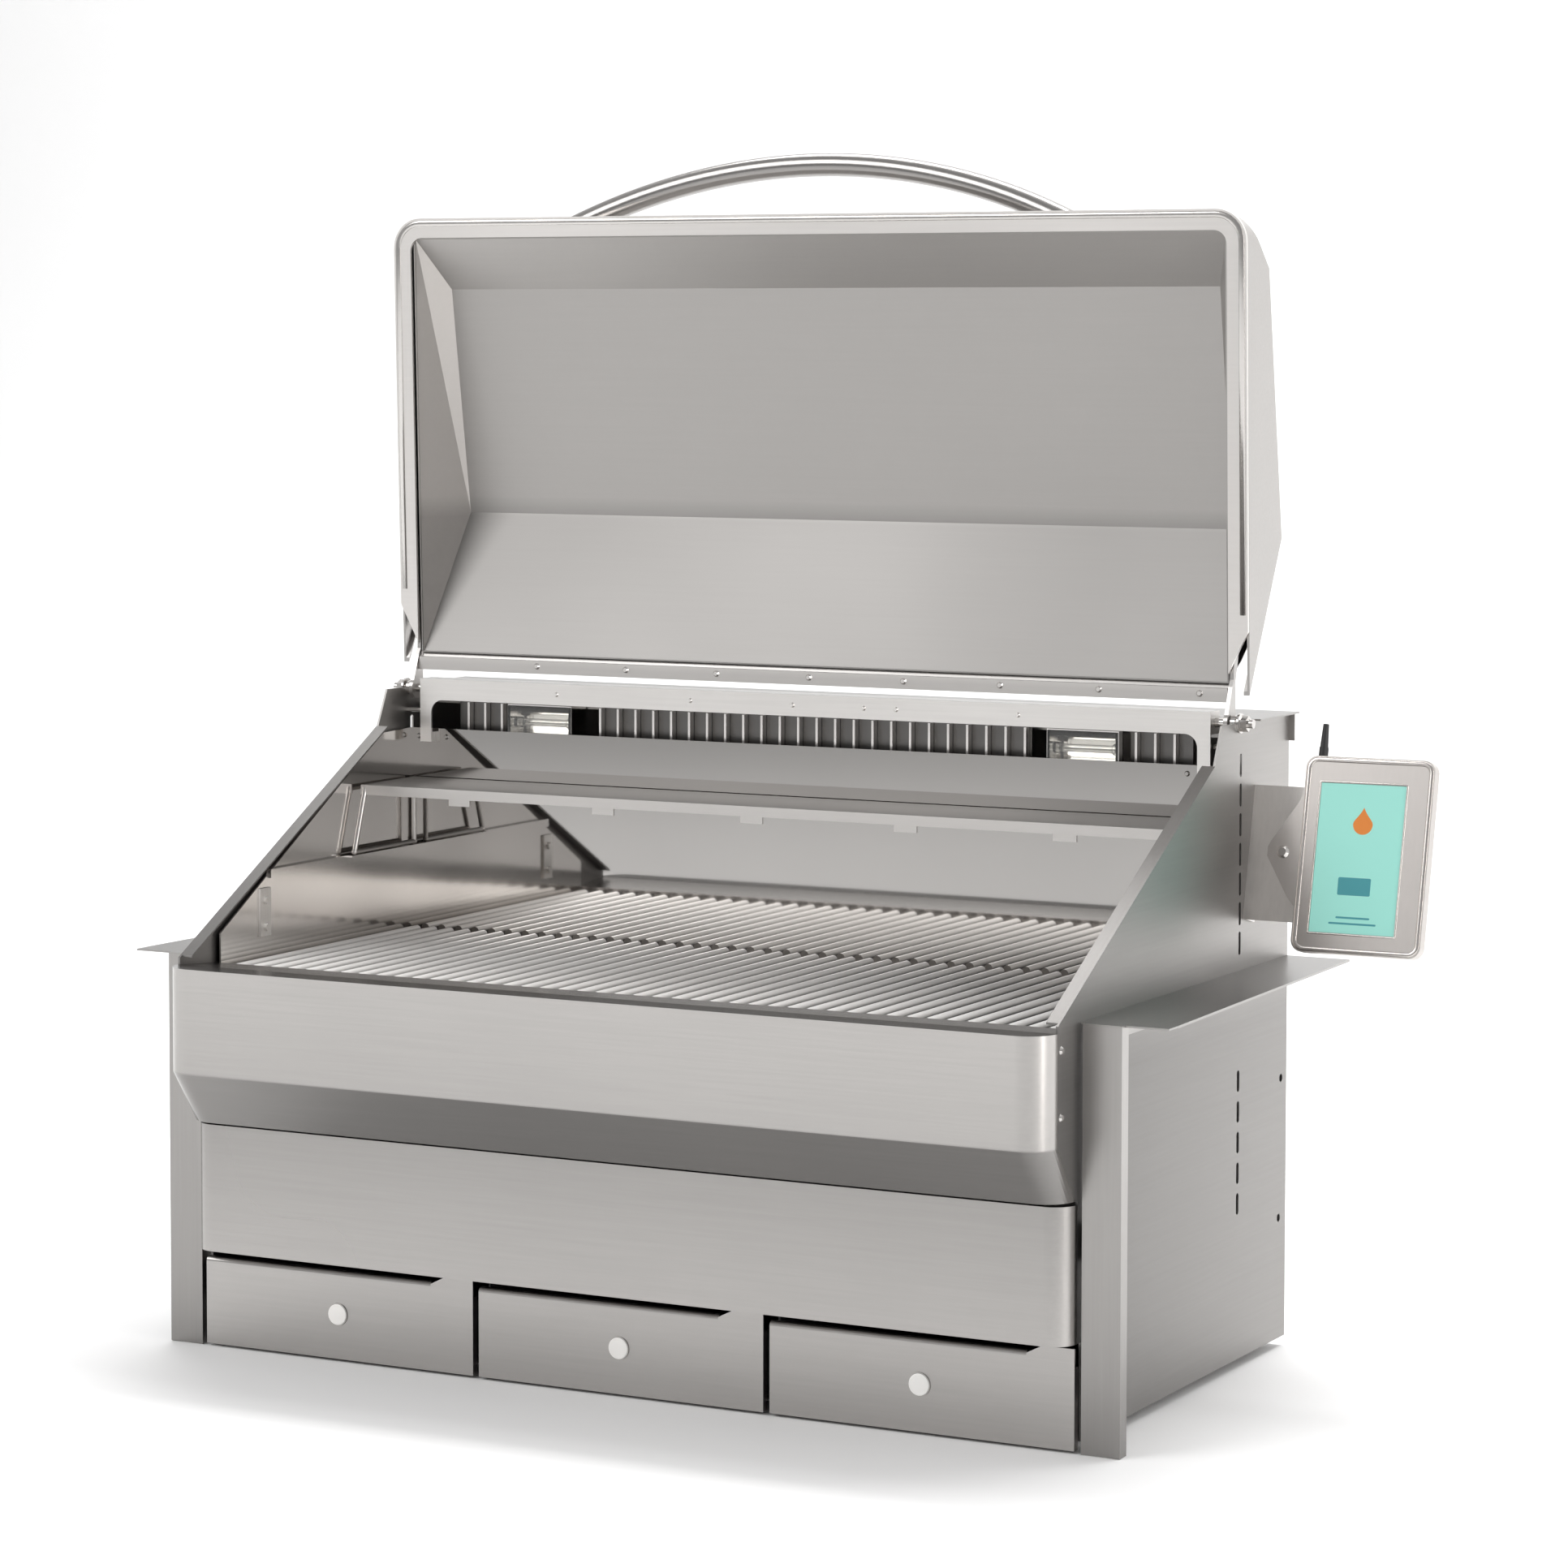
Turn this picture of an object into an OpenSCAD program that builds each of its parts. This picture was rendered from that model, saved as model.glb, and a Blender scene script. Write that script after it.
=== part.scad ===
// Built-in outdoor smoker and grill with a lift-up hood, three front drawers
// and a touch-screen control head on the right side.
// Frame: +X to the object's right, +Y to its rear, +Z up. The origin is at the
// middle of the cabinet's footprint, on the plane that its base rails rest on.

/* [Cabinet] */
// Width over the outer faces of the two side panels
cabinet_w = 835; // [800:1:846]
// Distance from the front trim's face back to the middle of the footprint
front_d = 220; // [220:1:240]
// Distance from the middle of the footprint back to the rear panel's face
rear_d = 227; // [220:0.5:240]
// Sheet thickness of the side panels
panel_t = 2; // [1.5:0.5:2.5]
// Height of the side panels' flat rear top edge
panel_top_z = 557; // [550:1:570]
// Height of the base rails under the bottom pan
rail_h = 8.3; // [6:0.1:10]

/* [Front] */
// Width of each vertical front trim
trim_w = 33.5; // [25:0.5:40]
// Height of the front trims and of the resting flanges
trim_h = 344.4; // [335:0.1:350]
// Width of the horizontal flange on each side
flange_w = 76; // [50:1:90]
// How far the upper fascia stands out in front of the trims
bullnose_out = 64; // [50:1:75]
// How far the lower fascia stands out in front of the trims
fascia_out = 20; // [12:1:28]
// Corner radius of the upper fascia, seen from above
fascia_r = 25; // [20:1:30]

/* [Drawers] */
// Width of each drawer front
drawer_w = 273.5; // [268:0.5:275]
// Height of the drawer fronts' rolled top lip
drawer_top_z = 79; // [70:1:80]
// Diameter of the plain round badge on each drawer front
badge_d = 20; // [12:1:30]

/* [Cooking space] */
// Diameter of the grate rods
rod_d = 8; // [6:0.5:9]
// Distance between neighbouring grate rods
rod_pitch = 18.2; // [16:0.1:18.2]
// Height of the top of the grate rods
grate_top_z = 335; // [330:1:338]
// Height of the top face of the warming shelf
shelf_top_z = 474; // [460:1:480]

/* [Hood] */
// Width of the hood over its end panels
hood_w = 849; // [847:1:856]
// Width of the white rim around the hood's mouth
rim_w = 18; // [12:1:22]
// Diameter of the arched handle's tube
handle_d = 21; // [16:1:24]
// Height of the handle's arch above the hood's front panel
handle_rise = 72; // [60:1:90]

/* [Control head] */
// Width of the control head
head_w = 115; // [100:1:130]
// Height of the control head
head_h = 167; // [150:1:180]
// Thickness of the control head
head_t = 22; // [18:1:30]
// How far the control head leans back, in degrees
head_tilt = 13; // [8:1:20]

/* [Hidden] */
$fn = 48;

eps = 0.01;
// thickness of the folded sheet of covers, trims and liners
sheet = 1.5;
side_x = cabinet_w / 2;
// inner face of the side panels
inside_x = side_x - panel_t;
front_y = -front_d;
rear_y = rear_d;
hinge_y = 112;
hinge_z = 556.5;
bullnose_y = front_y - bullnose_out;
fascia_y = front_y - fascia_out;
bullnose_bottom_z = 250;
bullnose_top_z = 341;
ledge_rear_z = 336.4;
chamfer_y = front_y - 30;
chamfer_z = 203;
fascia_bottom_z = 88;
fascia_top_z = 199.5;
cheek_y = bullnose_y + fascia_r;
// the sloping top edge of the side panels: its upper end and its rise per
// millimetre towards the rear
slope_top = [58.4, 524.2];
slope = 0.55926;
slope_front_z = slope_top[1] - (slope_top[0] - cheek_y) * slope;
liner_x = side_x - 6;
// inner face of the firebox walls
wall_x = liner_x - sheet;
back_y = 107;
firebox_y = front_y + 15;
floor_z = 95;
opening_z = 519.5;
drawer_pitch = 279.4;
grate_pitch = 15 * rod_pitch;
// underside of the grates' cross bars and the top of their seats
seat_z = grate_top_z - rod_d - 0.3;
seat_low_z = 318;
// top of the rails that the warming shelf stands on
rail_top_z = 411.2;
// rear end of the drawer bay
bay_y = rear_y - 32;
element_z = 245;
element_r = 60;
element_d = 9;
fan_z = 200;
probe = [345, 300];
lamp_x = 273;
louvre_z = [508, 544];
rim_t = 3;
// corner radius of the hood's mouth
mouth_r = 28;
rim_top = [hinge_y - 10.6, 992.4];
rim_bottom = [hinge_y + 1.9, 573.6];
hood_crown = [hinge_y + 42.8, 942.5];
hood_back = [hinge_y + 76.3, 711.4];
lip_w = 12;
// inner face of the two hood arms
arm_x = 406.4;
// where the shell meets the back of the rim
shell_top = rim_top + (hood_crown - rim_top) * (rim_t + 0.1) / (hood_crown[0] - rim_top[0]);
shell_bottom = rim_bottom + (hood_back - rim_bottom) * (rim_t + 0.4) / (hood_back[0] - rim_bottom[0]);
rim_lean = atan2(rim_bottom[0] - rim_top[0], rim_top[1] - rim_bottom[1]);
steel = "#b9b4b0";
steel_dark = "#8f8a86";
steel_bright = "#d8d4d0";
black = "#242424";

// Basic shapes ------------------------------------------------------------

module block(lo, hi) {
  translate(lo) cube(hi - lo);
}

// Extrudes a (Y, Z) outline along X
module along_x(x0, x1) {
  translate([x0, 0, 0]) rotate([90, 0, 90]) linear_extrude(x1 - x0) children();
}

// Extrudes an (X, Z) outline along Y
module along_y(y0, y1) {
  translate([0, y1, 0]) rotate([90, 0, 0]) linear_extrude(y1 - y0) children();
}

// Cylinder along X
module bar_x(x0, x1, y, z, d) {
  translate([x0, y, z]) rotate([0, 90, 0]) cylinder(h = x1 - x0, d = d);
}

// Cylinder along Y
module bar_y(x, y0, y1, z, d) {
  translate([x, y0, z]) rotate([-90, 0, 0]) cylinder(h = y1 - y0, d = d);
}

// Straight wire between two points
module wire(a, b, d) {
  v = b - a;
  n = norm(v);
  translate(a) rotate([0, acos(v[2] / n), atan2(v[1], v[0])]) cylinder(h = n, d = d, $fn = 20);
}

module on_side(s) {
  mirror([s < 0 ? 1 : 0, 0, 0]) children();
}

// Low screw head that faces +X
module screw_x(head_d) {
  rotate([0, 90, 0]) cylinder(h = 1.8, d1 = head_d, d2 = head_d * 0.6);
}

// Low screw head that faces -Y
module screw_y(x, y, z, head_d) {
  translate([x, y, z]) rotate([90, 0, 0]) cylinder(h = 1.5, d1 = head_d, d2 = head_d * 0.6);
}

// Plan outline of a fascia: straight front, rounded ends
module fascia_plan(half_w, y_front, y_back, r) {
  intersection() {
    translate([-half_w - 1, y_front - 1]) square([2 * half_w + 2, y_back - y_front + 1]);
    union() {
      translate([-half_w + r, y_front]) square([2 * (half_w - r), y_back - y_front]);
      translate([-half_w, y_front + r]) square([2 * half_w, max(y_back - y_front, r + 1) - r]);
      for (s = [-1, 1])
        translate([s * (half_w - r), y_front + r]) circle(r = r);
    }
  }
}

module upright_slot(y, z, length, w) {
  translate([y - w / 2, z - length / 2 + w / 2]) square([w, length - w]);
  for (e = [-1, 1])
    translate([y, z + e * (length - w) / 2]) circle(d = w, $fn = 16);
}

// Cabinet -----------------------------------------------------------------

function side_outline() = [
  [rear_y, rail_h], [rear_y, panel_top_z], [74, panel_top_z], slope_top,
  [cheek_y + 0.2, slope_front_z], [cheek_y + 0.2, bullnose_bottom_z],
  [chamfer_y + fascia_r + 0.2, chamfer_z], [front_y + 0.2, chamfer_z],
  [front_y + 0.2, fascia_bottom_z], [front_y + 8, fascia_bottom_z], [front_y + 8, rail_h]];

module side_slots() {
  for (i = [0:6])
    upright_slot(116, 368 + 25.4 * i, 20, 4.6);
  for (i = [0:4])
    upright_slot(115, 143.5 + 26.5 * i, 18.5, 5.6);
  for (p = [[214, 238], [211, 115]])
    translate(p) circle(d = 7);
}

module side_panel(s) {
  color(steel) on_side(s) {
    difference() {
      along_x(inside_x, side_x) polygon(side_outline());
      along_x(inside_x - 1, side_x + 1) side_slots();
      bar_x(inside_x - 1, side_x + 1, hinge_y, hinge_z, 8.6);
    }
    // inward lip along the sloping edge, where the hood comes down
    along_x(side_x - lip_w, inside_x + eps)
      polygon([[cheek_y + 4, slope_front_z + 2.2], [cheek_y + 4, slope_front_z + 0.4],
        slope_top - [0, 1.8], slope_top]);
    // inward lip along the bottom edge
    block([side_x - 16, front_y + 8, rail_h], [inside_x + eps, rear_y, rail_h + 1.5]);
  }
}

module base_pan() {
  color(steel_dark)
    block([-side_x + panel_t, front_y + 8, rail_h + 1.5], [inside_x, rear_y - 2, rail_h + 3]);
}

module base_rails() {
  color(steel_dark)
    for (x = [-300, 0, 300]) {
      block([x - 15, front_y + 40, 0], [x + 15, rear_y - 20, 1.6]);
      for (s = [-1, 1])
        block([x + s * 14.2 - 0.8, front_y + 40, 0], [x + s * 14.2 + 0.8, rear_y - 20, rail_h + 1.5]);
    }
}

module rear_panel() {
  color(steel)
    difference() {
      block([-side_x + panel_t, rear_y - 2, rail_h + 1.5], [inside_x, rear_y - 0.5, 541]);
      // cooling slots
      along_y(rear_y - 4, rear_y + 1)
        for (row = [0:4], i = [-9:9])
          translate([i * 34 - 12, 300 + 22 * row]) square([24, 5]);
      // hole for the power inlet
      block([-330, rear_y - 4, 60], [-282, rear_y + 1, 92]);
    }
}

module rear_top_cover() {
  color(steel) {
    block([-side_x - 9, hinge_y + 26, panel_top_z], [side_x + 9, rear_y + 1.5, panel_top_z + 1.5]);
    block([-side_x + panel_t + 0.5, hinge_y + 26, 541],
      [inside_x - 0.5, hinge_y + 27.5, panel_top_z + 1]);
    block([-side_x - 5, rear_y, 533], [side_x + 5, rear_y + 1.5, panel_top_z + 1]);
  }
}

module trim(s) {
  x0 = side_x + 4;
  x1 = x0 + trim_w;
  top = trim_h - 1.5;
  color(steel) on_side(s) {
    block([x0, front_y, 0], [x1, front_y + 1.5, top]);
    block([x1 - 1.5, front_y, 0], [x1, front_y + 13, top]);
    block([x0, front_y, 0], [x0 + 1.5, front_y + 22, top]);
    // spacers that carry the trim on the side panel
    for (z = [40, 150])
      block([side_x, front_y + 26, z], [x0 + 1.5, front_y + 34, z + 30]);
    for (z = [40, 150])
      block([x0, front_y + 20, z], [x0 + 1.5, front_y + 34, z + 30]);
  }
}

// Flange that rests on the counter, a little narrower towards the rear. Its
// front strip is thinner, where it lies on top of the trim.
module flange(s) {
  join_y = front_y + 24;
  color(steel_bright) on_side(s) {
    translate([0, 0, trim_h - 2]) linear_extrude(2)
      polygon([[side_x, join_y], [side_x + flange_w - 0.7, join_y],
        [side_x + flange_w - 18, rear_y], [side_x, rear_y]]);
    block([side_x, front_y + 5, trim_h - 1.5], [side_x + flange_w - 0.7, join_y + eps, trim_h]);
    block([side_x + 4, front_y, trim_h - 1.5], [side_x + 4 + trim_w, front_y + 6, trim_h]);
    // upright leg that fixes the flange to the side panel
    block([side_x, front_y + 36, trim_h - 22], [side_x + 2, rear_y, trim_h - 1]);
  }
}

// Outer form of the upper fascia, shrunk by the sheet thickness t for its inside
module bullnose_solid(t) {
  rear = t > 0 ? 30 : 0;
  hull() {
    translate([0, 0, chamfer_z - t / 2]) linear_extrude(0.5)
      fascia_plan(side_x - t, chamfer_y + t, chamfer_y + fascia_r - 0.2 + rear, fascia_r - t);
    translate([0, 0, bullnose_bottom_z]) linear_extrude(0.5)
      fascia_plan(side_x - t, bullnose_y + t, cheek_y - 0.2 + rear, fascia_r - t);
  }
  translate([0, 0, bullnose_bottom_z]) linear_extrude(bullnose_top_z - bullnose_bottom_z - t)
    fascia_plan(side_x - t, bullnose_y + t, cheek_y - 0.2 + rear, fascia_r - t);
}

module bullnose() {
  ledge_x = inside_x - 0.2;
  color(steel_bright) {
    difference() {
      bullnose_solid(0);
      bullnose_solid(2);
    }
    // ledge that falls slightly towards the grates, with a turned-down rear edge
    along_x(-ledge_x, ledge_x)
      polygon([[cheek_y - 4, bullnose_top_z], [front_y + 14, ledge_rear_z],
        [front_y + 14, ledge_rear_z - 12], [front_y + 12.5, ledge_rear_z - 12],
        [front_y + 12.5, ledge_rear_z - 2], [cheek_y - 4, bullnose_top_z - 2]]);
  }
}

module lower_fascia() {
  r = fascia_r - 5;
  color(steel)
    difference() {
      translate([0, 0, fascia_bottom_z]) linear_extrude(fascia_top_z - fascia_bottom_z)
        fascia_plan(side_x, fascia_y, front_y, r);
      translate([0, 0, fascia_bottom_z + 2]) linear_extrude(fascia_top_z - fascia_bottom_z - 4)
        fascia_plan(side_x - 2, fascia_y + 2, front_y + 1, r - 2);
    }
  // flange back to the firebox
  color(steel)
    block([-side_x + panel_t + 0.2, front_y - eps, fascia_top_z - 2],
      [inside_x - 0.2, firebox_y - 1.5, fascia_top_z]);
}

// Two screws on each side of the upper fascia
module fascia_screws() {
  color(steel_bright)
    for (s = [-1, 1], z = [274, 327])
      on_side(s) translate([side_x, cheek_y + 6.5, z]) screw_x(7);
}

module drawer_bay() {
  color(steel_dark) {
    block([-side_x + panel_t, front_y + 22, 88], [inside_x, bay_y, 89.5]);
    // dividers, a little short of the roof
    for (x = [-drawer_pitch / 2, drawer_pitch / 2])
      block([x - 0.75, front_y + 22, rail_h + 3], [x + 0.75, bay_y, 87]);
    // runners under the trays
    for (i = [-1:1], s = [-1, 1])
      block([i * drawer_pitch + s * 126 - 5, front_y + 12, rail_h + 3],
        [i * drawer_pitch + s * 126 + 5, bay_y, 15.7]);
  }
}

// Firebox -----------------------------------------------------------------

module firebox_side(s) {
  color(steel) on_side(s)
    along_x(wall_x, liner_x)
      polygon([[firebox_y, floor_z], [back_y, floor_z], [back_y, opening_z],
        [56, 518], [firebox_y, 362]]);
}

module firebox_back() {
  color(steel_bright)
    difference() {
      block([-liner_x, back_y, floor_z], [liner_x, back_y + sheet, opening_z]);
      // air holes in front of the circulation fan
      for (r = [18, 34, 50], a = [0:30:330])
        bar_y(r * cos(a), back_y - 1, back_y + sheet + 1, fan_z + r * sin(a), 9);
      for (i = [-1:1], s = [-1, 1])
        bar_y(i * grate_pitch + s * element_r, back_y - 1, back_y + sheet + 1, element_z,
          element_d + 1.4);
      bar_y(probe[0], back_y - 1, back_y + sheet + 1, probe[1], 6.4);
    }
  // small screws at the top corners
  color(steel)
    for (s = [-1, 1], x = [402, 372])
      screw_y(s * x, back_y + eps, 512, 5);
}

module firebox_front() {
  color(steel)
    along_x(-liner_x + sheet + 0.5, wall_x - 0.5)
      polygon([[firebox_y - 1.5, floor_z], [firebox_y, floor_z], [firebox_y, seat_low_z],
        [firebox_y + 12, seat_low_z], [firebox_y + 12, seat_z],
        [firebox_y, seat_z], [firebox_y, ledge_rear_z - 3],
        [firebox_y - 0.9, ledge_rear_z - 3], [firebox_y - 0.9, seat_low_z], [firebox_y - 1.5, seat_low_z]]);
  // rear support angle of the grates
  color(steel)
    block([-liner_x + sheet + 0.5, back_y - 12, seat_low_z],
      [wall_x - 0.5, back_y, seat_z]);
}

module firebox_floor() {
  color(steel_dark)
    difference() {
      block([-liner_x, firebox_y - 1.5, floor_z - 2], [liner_x, back_y + sheet, floor_z]);
      for (i = [-1:1])
        translate([i * drawer_pitch, -60, floor_z - 3]) cylinder(h = 4, d = 36);
    }
}

module side_rails() {
  color(steel)
    for (s = [-1, 1]) on_side(s) {
      block([wall_x - 5, -134, rail_top_z - 7.7], [wall_x, back_y, rail_top_z]);
      // wider ledge under the shelf's feet
      block([399, -12, rail_top_z - sheet], [wall_x - 4, back_y, rail_top_z]);
    }
}

module rack_hooks() {
  color(steel_bright)
    for (s = [-1, 1]) on_side(s) {
      block([wall_x - 2, -146, 352], [wall_x, -130, 395]);
      for (z = [360, 384])
        bar_x(wall_x - 5, wall_x - 2 + eps, -138, z, 7);
    }
}

// Hinge, lamps and vent ---------------------------------------------------

module hinge_rail() {
  rail_x = 396;
  face_y = hinge_y - 12.3;
  half = 9.8;
  color(steel_bright)
    difference() {
      union() {
        block([-rail_x, face_y, hinge_z - half], [rail_x, face_y + 2, hinge_z + half]);
        block([-rail_x, face_y, hinge_z + half - 2], [rail_x, hinge_y + 8, hinge_z + half]);
        block([-rail_x, face_y, hinge_z - half], [rail_x, hinge_y - 4, hinge_z - half + 2]);
        for (s = [-1, 1]) on_side(s) {
          block([rail_x - 12, face_y, hinge_z - half], [rail_x, hinge_y + 8, hinge_z + half]);
          // ear down to the firebox back
          difference() {
            block([372, face_y, opening_z - 3], [rail_x, face_y + 2, hinge_z - 9]);
            bar_y(372, hinge_y - 14, hinge_y - 9, hinge_z - 21.8, 24);
            block([370, hinge_y - 14, opening_z - 4], [rail_x - 12, hinge_y - 9, hinge_z - 21.8]);
          }
          block([rail_x - 12, face_y, opening_z - 12], [rail_x, back_y, opening_z - 3 + eps]);
        }
      }
      for (s = [-1, 1]) on_side(s)
        bar_x(380, 400, hinge_y, hinge_z, 8.2);
    }
  color(steel)
    for (x = [-249, -109, -5, 66, 98, 216])
      screw_y(x, face_y + eps, hinge_z, 4.5);
}

module hinge_bolts() {
  color(steel_bright)
    for (s = [-1, 1]) on_side(s) {
      bar_x(388, side_x + 13, hinge_y, hinge_z, 8);
      bar_x(side_x, side_x + 2, hinge_y, hinge_z, 17);
      translate([side_x + 2, hinge_y, hinge_z]) rotate([0, 90, 0]) cylinder(h = 6.5, d = 14, $fn = 6);
      bar_x(inside_x - 4.5, inside_x, hinge_y, hinge_z, 13);
      // stop pin under the pivot
      bar_x(396, inside_x, hinge_y - 4, hinge_z - 20.5, 4);
    }
}

module vent_louvre() {
  half = 215;
  // front and rear of the bars, and the plate behind them
  bar_y0 = back_y + 12;
  plate_y = back_y + 20;
  module bars(first, pitch, count) {
    for (i = [0:count - 1])
      block([first + i * pitch, bar_y0, louvre_z[0]],
        [first + i * pitch + 2.2, plate_y + eps, louvre_z[1]]);
  }
  module carrier(x0, x1) {
    block([x0, plate_y, louvre_z[0] - 2], [x1, plate_y + sheet, louvre_z[1] + 2]);
    block([x0, back_y + sheet, louvre_z[0] - 2], [x1, plate_y + sheet, louvre_z[0]]);
  }
  color(steel) {
    bars(-half, 18.6, 24);
    carrier(-half, half + 2);
    // short louvres outside the lamps
    for (s = [-1, 1]) on_side(s) {
      bars(318, 18, 3);
      carrier(311, 369);
    }
  }
}

module lamp_housings() {
  half = 34;
  color(steel_bright)
    for (x = [-lamp_x, lamp_x])
      difference() {
        block([x - half, back_y + 3, 505], [x + half, back_y + 29, 545]);
        bar_x(x - half + 3, x + half - 3, back_y + 8, 528, 30);
        block([x - half + 3, back_y + 2, 513], [x + half - 3, back_y + 9, 543]);
      }
}

module lamp_bulbs() {
  half = 31;
  color("#f4f1e6")
    for (x = [-lamp_x, lamp_x]) {
      bar_x(x - half, x + half, back_y + 14, 528, 7);
      for (s = [-1, 1])
        bar_x(x + s * (half - 3) - 3, x + s * (half - 3) + 3, back_y + 14, 528, 10);
    }
}

module lamp_lenses() {
  half = 33;
  color("#e8e8e4", 0.4)
    for (x = [-lamp_x, lamp_x])
      block([x - half, back_y + sheet, 510], [x + half, back_y + 3, 544]);
}

// Heat, smoke and air -----------------------------------------------------

module heating_elements() {
  front = -100;
  wall = back_y + 26;
  color("#5b4a42")
    for (i = [-1:1])
      translate([i * grate_pitch, 0, element_z]) {
        for (s = [-1, 1])
          bar_y(s * element_r, front, wall, 0, element_d);
        translate([0, front, 0]) rotate([0, 0, 180])
          rotate_extrude(angle = 180, $fn = 64) translate([element_r, 0])
            circle(d = element_d, $fn = 24);
        // terminals
        for (s = [-1, 1])
          bar_y(s * element_r, wall, wall + 12, 0, 4);
      }
}

module heat_diffusers() {
  color(steel_dark)
    for (i = [-1:1], s = [-1, 1])
      along_y(-175, 70)
        polygon([for (p = [[-46, 268], [-46, 266], [0, 296], [46, 266], [46, 268], [0, 298.4]])
          [p[0] + i * grate_pitch + s * 62, p[1]]]);
  // two cross angles that carry the plates
  color(steel_dark)
    for (y = [-150, 50])
      block([-liner_x + sheet + 0.5, y - 6, 260], [wall_x - 0.5, y + 6, 266.4]);
}

smoker_lo = [150, -190, floor_z];
smoker_hi = [390, -130, 150];
module smoker_box() {
  color(steel_dark)
    difference() {
      block(smoker_lo, smoker_hi);
      block(smoker_lo + [sheet, sheet, sheet], smoker_hi + [-sheet, -sheet, 1]);
    }
}

module smoker_box_lid() {
  color(steel)
    difference() {
      block([smoker_lo[0] - sheet, smoker_lo[1] - sheet, smoker_hi[2]],
        smoker_hi + [sheet, sheet, 1.6]);
      for (i = [0:7], y = [-175, -145])
        translate([smoker_lo[0] + 22 + 28 * i, y, smoker_hi[2] - 1]) cylinder(h = 4, d = 10);
    }
}

module temperature_probe() {
  color(steel_bright) {
    bar_y(probe[0], 20, back_y + 22, probe[1], 6);
    bar_y(probe[0], back_y + sheet, back_y + 8, probe[1], 14);
  }
}

module fan_housing() {
  color(steel_dark)
    difference() {
      bar_y(0, back_y + sheet, back_y + 46, fan_z, 140);
      bar_y(0, back_y + sheet - 1, back_y + 43, fan_z, 136);
      bar_y(0, back_y + 40, back_y + 50, fan_z, 12.4);
      // outlets round the rear face
      for (a = [0:45:315])
        bar_y(44 * cos(a), back_y + 40, back_y + 50, fan_z + 44 * sin(a), 18);
    }
}

shaft_d = 8;
module fan_motor() {
  color("#3b3d40")
    difference() {
      union() {
        bar_y(0, back_y + 46, back_y + 88, fan_z, 66);
        bar_y(0, back_y + 86, back_y + 94, fan_z, 30);
      }
      bar_y(0, back_y + 45, back_y + 72, fan_z, shaft_d + 0.08);
    }
}

module fan_rotor() {
  blade = [46, 2, 22];
  color("#a7a9ab") {
    bar_y(0, back_y + 10, back_y + 70, fan_z, shaft_d);
    bar_y(0, back_y + 10, back_y + 36, fan_z, 30);
    for (a = [0:45:315])
      translate([0, back_y + 26, fan_z]) rotate([0, a, 0])
        translate([12, 0, 0]) rotate([35, 0, 0]) translate([0, 0, -2]) cube(blade);
  }
}

module control_box() {
  color("#4a4c4e") {
    block([150, back_y + 40, 100], [330, rear_y - 6, 225]);
    block([170, back_y + 32, 120], [310, back_y + 40 + eps, 190]);
    for (i = [0:7])
      block([175 + 16 * i, back_y + 26, 198], [186 + 16 * i, back_y + 40 + eps, 214]);
  }
}

module power_inlet() {
  color(black)
    difference() {
      union() {
        block([-328, rear_y - 26, 62], [-284, rear_y - 0.5, 90]);
        block([-336, rear_y - 0.5, 56], [-276, rear_y + 2.5, 96]);
      }
      block([-318, rear_y - 16, 67], [-294, rear_y + 4, 85]);
    }
  color("#c9b26a")
    for (x = [-312, -306, -300])
      block([x - 1, rear_y - 17, 74], [x + 1, rear_y - 4, 79]);
}

// Control head ------------------------------------------------------------

// left edge of the head, its pivot, and the middle of its face
head_x = 472;
pivot_x = 458;
head_y = 112;
head_z = 449;
// depth of the head's tray, in front of the box behind it
tray_t = 11;
bezel_t = 2;
// window of the bezel, measured in the head's own frame
window_lo = [head_x + 15, -66];
window_hi = [head_x + head_w - 24, 61];

module at_head() {
  translate([0, head_y, head_z]) rotate([-head_tilt, 0, 0]) children();
}

module controller_bracket() {
  z0 = -57;
  z1 = 59;
  color(steel_bright) {
    at_head()
      difference() {
        along_y(head_t + 2, head_t + 5)
          polygon([[side_x + 1, z0], [head_x + 60, z0], [head_x + 60, z1], [side_x + 1, z1]]);
        bar_y(pivot_x, head_t, head_t + 8, 0, 6.2);
      }
    // foot against the side panel
    intersection() {
      at_head() block([side_x - 20, head_t + 2, z0], [side_x + 2.2, head_t + 24, z1]);
      block([side_x, 0, 300], [side_x + 2.2, 300, 600]);
    }
  }
}

module controller_pivot() {
  color(steel) at_head() {
    bar_y(pivot_x, -0.1, head_t + 9, 0, 6);
    translate([pivot_x, -0.1, 0]) rotate([90, 0, 0]) cylinder(h = 2.5, d1 = 11, d2 = 7);
    bar_y(pivot_x, head_t + 5, head_t + 9, 0, 11);
    difference() {
      bar_y(pivot_x, tray_t + 0.1, head_t + 2, 0, 16);
      bar_y(pivot_x, tray_t, head_t + 3, 0, 5.9);
    }
  }
}

// Front outline of the control head with its ear
module head_face() {
  head_outline(0);
  polygon([[head_x + 12, 60], [head_x + 1, 54], [head_x - 4, 42], [head_x - 25, 10],
    [head_x - 28, 4], [head_x - 28, -4], [head_x - 7, -38], [head_x + 1, -47],
    [head_x + 12, -50]]);
}

module head_outline(inset) {
  corner = 10;
  hull()
    for (x = [corner, head_w - corner], z = [corner - head_h / 2, head_h / 2 - corner])
      translate([head_x + x, z]) circle(r = corner - inset, $fn = 32);
}

module controller_housing() {
  color("#cfcac6") at_head()
    difference() {
      union() {
        along_y(bezel_t, tray_t) head_face();
        along_y(tray_t - eps, head_t) translate([head_x + head_w / 2, 0])
          square([head_w - 44, head_h - 50], center = true);
      }
      bar_y(pivot_x, 1, tray_t + 1, 0, 6.1);
      along_y(1, tray_t - 2) head_outline(3);
    }
}

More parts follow.
